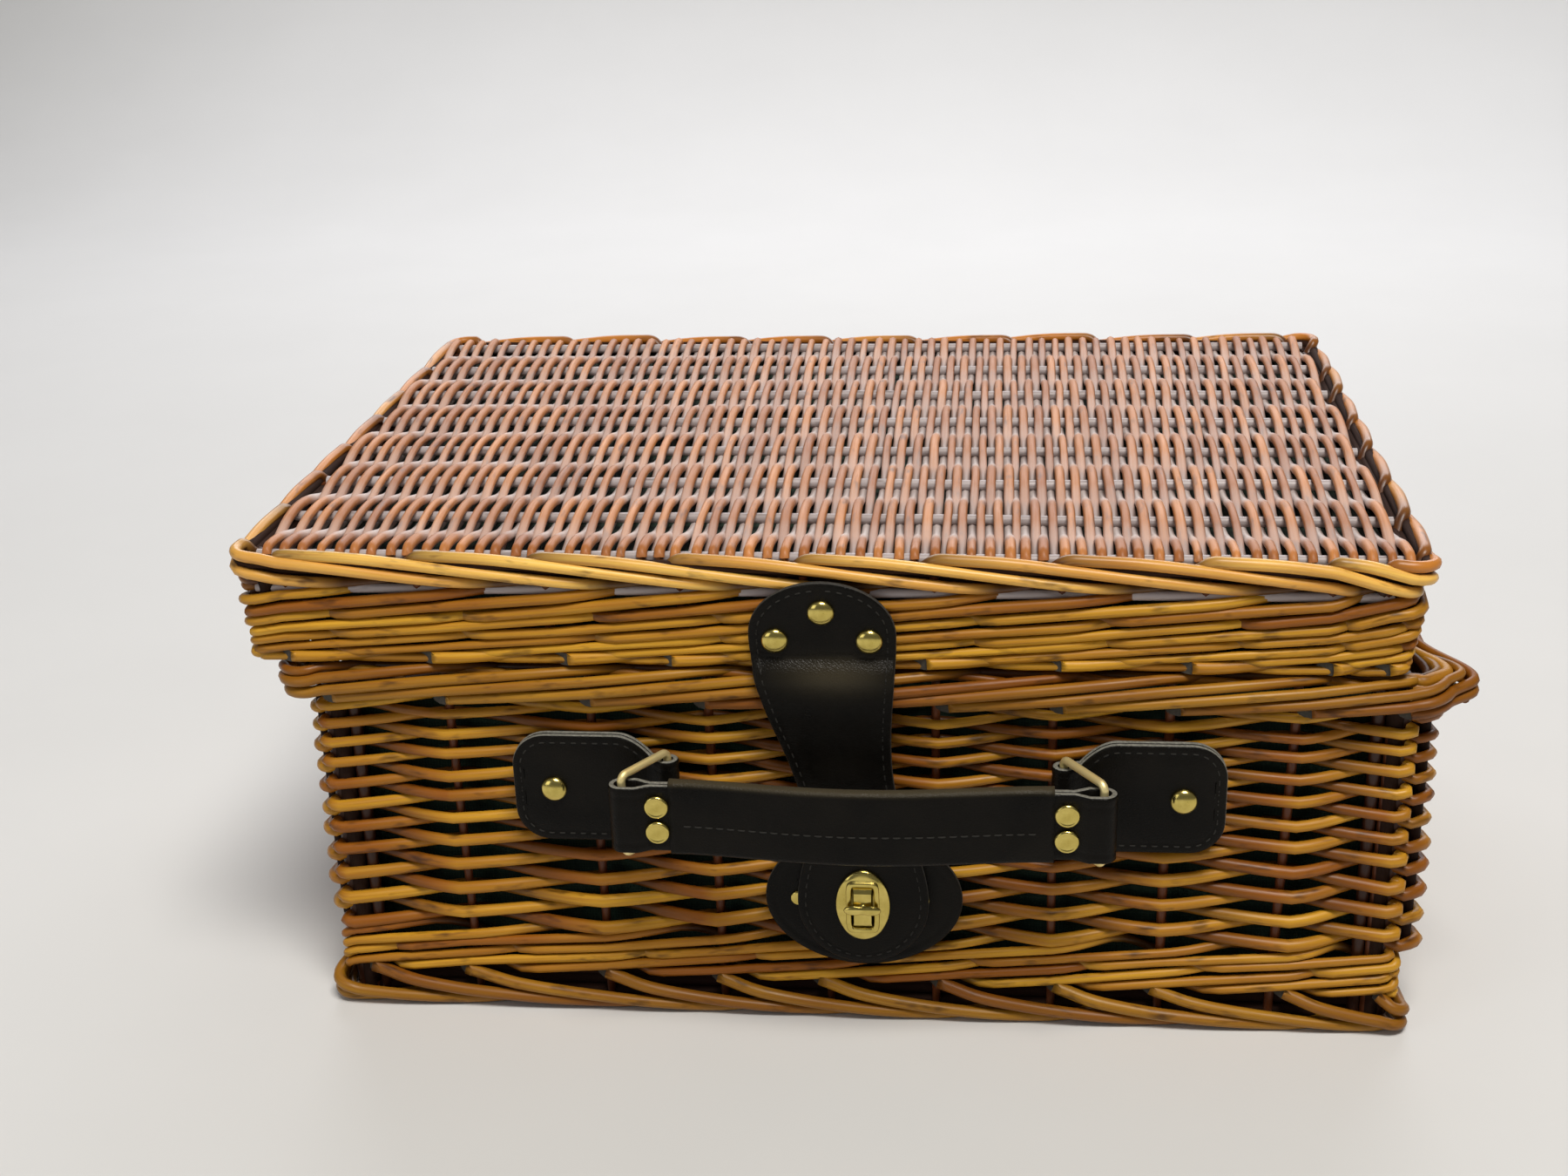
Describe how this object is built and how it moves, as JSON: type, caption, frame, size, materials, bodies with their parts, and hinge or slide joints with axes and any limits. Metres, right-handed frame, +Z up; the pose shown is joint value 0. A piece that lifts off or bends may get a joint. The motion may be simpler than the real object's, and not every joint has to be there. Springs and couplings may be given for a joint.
{
  "type": "picnic hamper",
  "caption": "Woven willow picnic hamper with a hinged lid, leather clasp strap with a brass turn lock, and a leather carrying handle on wire rings.",
  "frame": {"origin": "middle of the underside of the whole part", "axes": "+X to the right along the long side, +Y from the front with the clasp and handle to the hinged back, +Z up"},
  "size_m": [0.464, 0.3615, 0.208],
  "materials": {
    "willow": "buff willow rods, varnished, golden orange with dark gaps",
    "lid_willow": "buff willow rods, varnished, red brown",
    "leather": "dark brown, nearly black, satin",
    "brass": "polished yellow brass",
    "lining": "dark green woven cloth"
  },
  "bodies": {
    "base": {"foot_border": "willow", "bottom_wale": "willow", "side_weave": "willow", "rim_border": "willow", "base_floor": "willow", "base_lining": "lining", "lock_patch": "leather", "patch_rivet_left": "brass", "patch_rivet_right": "brass", "lock_seat_plate": "brass", "handle_tab_left": "leather", "handle_tab_right": "leather", "tab_rivet_left": "brass", "tab_rivet_right": "brass", "hinge_leaf_base_left": "leather", "hinge_leaf_base_right": "leather", "hinge_rivet_base_left": "brass", "hinge_rivet_base_right": "brass"},
    "lid": {"lid_rim_border": "willow", "lid_wale": "willow", "lid_top_border": "willow", "lid_panel": "lid_willow", "lid_lining": "lining", "clasp_strap": "leather", "strap_rivet_1": "brass", "strap_rivet_2": "brass", "strap_rivet_3": "brass", "hinge_leaf_lid_left": "leather", "hinge_leaf_lid_right": "leather", "hinge_rivet_lid_left": "brass", "hinge_rivet_lid_right": "brass"},
    "strap_flap": {"clasp_flap": "leather", "lock_slot_plate": "brass"},
    "lock_knob": {"lock_knob": "brass"},
    "handle": {"handle_band": "leather", "handle_sleeve": "leather", "handle_rivet_left_upper": "brass", "handle_rivet_left_lower": "brass", "handle_rivet_right_upper": "brass", "handle_rivet_right_lower": "brass"},
    "ring_left": {"ring_left": "brass"},
    "ring_right": {"ring_right": "brass"}
  },
  "joints": [
    {"name": "lid_hinge", "type": "hinge", "parent": "base", "child": "lid", "pos_m": [0, 0.1776, 0.15815], "axis": [-1, 0, 0], "range_deg": [0, 110]},
    {"name": "flap_bend", "type": "hinge", "parent": "lid", "child": "strap_flap", "pos_m": [0.00953, -0.1524, 0.086], "axis": [-1, 0, 0], "range_deg": [0, 90]},
    {"name": "lock_turn", "type": "hinge", "parent": "base", "child": "lock_knob", "pos_m": [0.00953, -0.1524, 0.058], "axis": [0, -1, 0], "range_deg": [0, 90]},
    {"name": "handle_pull", "type": "slide", "parent": "base", "child": "handle", "axis": [0, -1, 0], "range_m": [0, 0.003]},
    {"name": "ring_left_swing", "type": "hinge", "parent": "base", "child": "ring_left", "pos_m": [-0.06747, -0.1502, 0.107], "axis": [0, 0, 1], "range_deg": [0, 14.6]},
    {"name": "ring_right_swing", "type": "hinge", "parent": "base", "child": "ring_right", "pos_m": [0.08853, -0.1502, 0.107], "axis": [0, 0, 1], "range_deg": [-14.6, 0]}
  ],
  "couplings": [
    {"joint": "ring_left_swing", "follows": "handle_pull", "rad_per_m": 84.55},
    {"joint": "ring_right_swing", "follows": "handle_pull", "rad_per_m": -84.55}
  ]
}
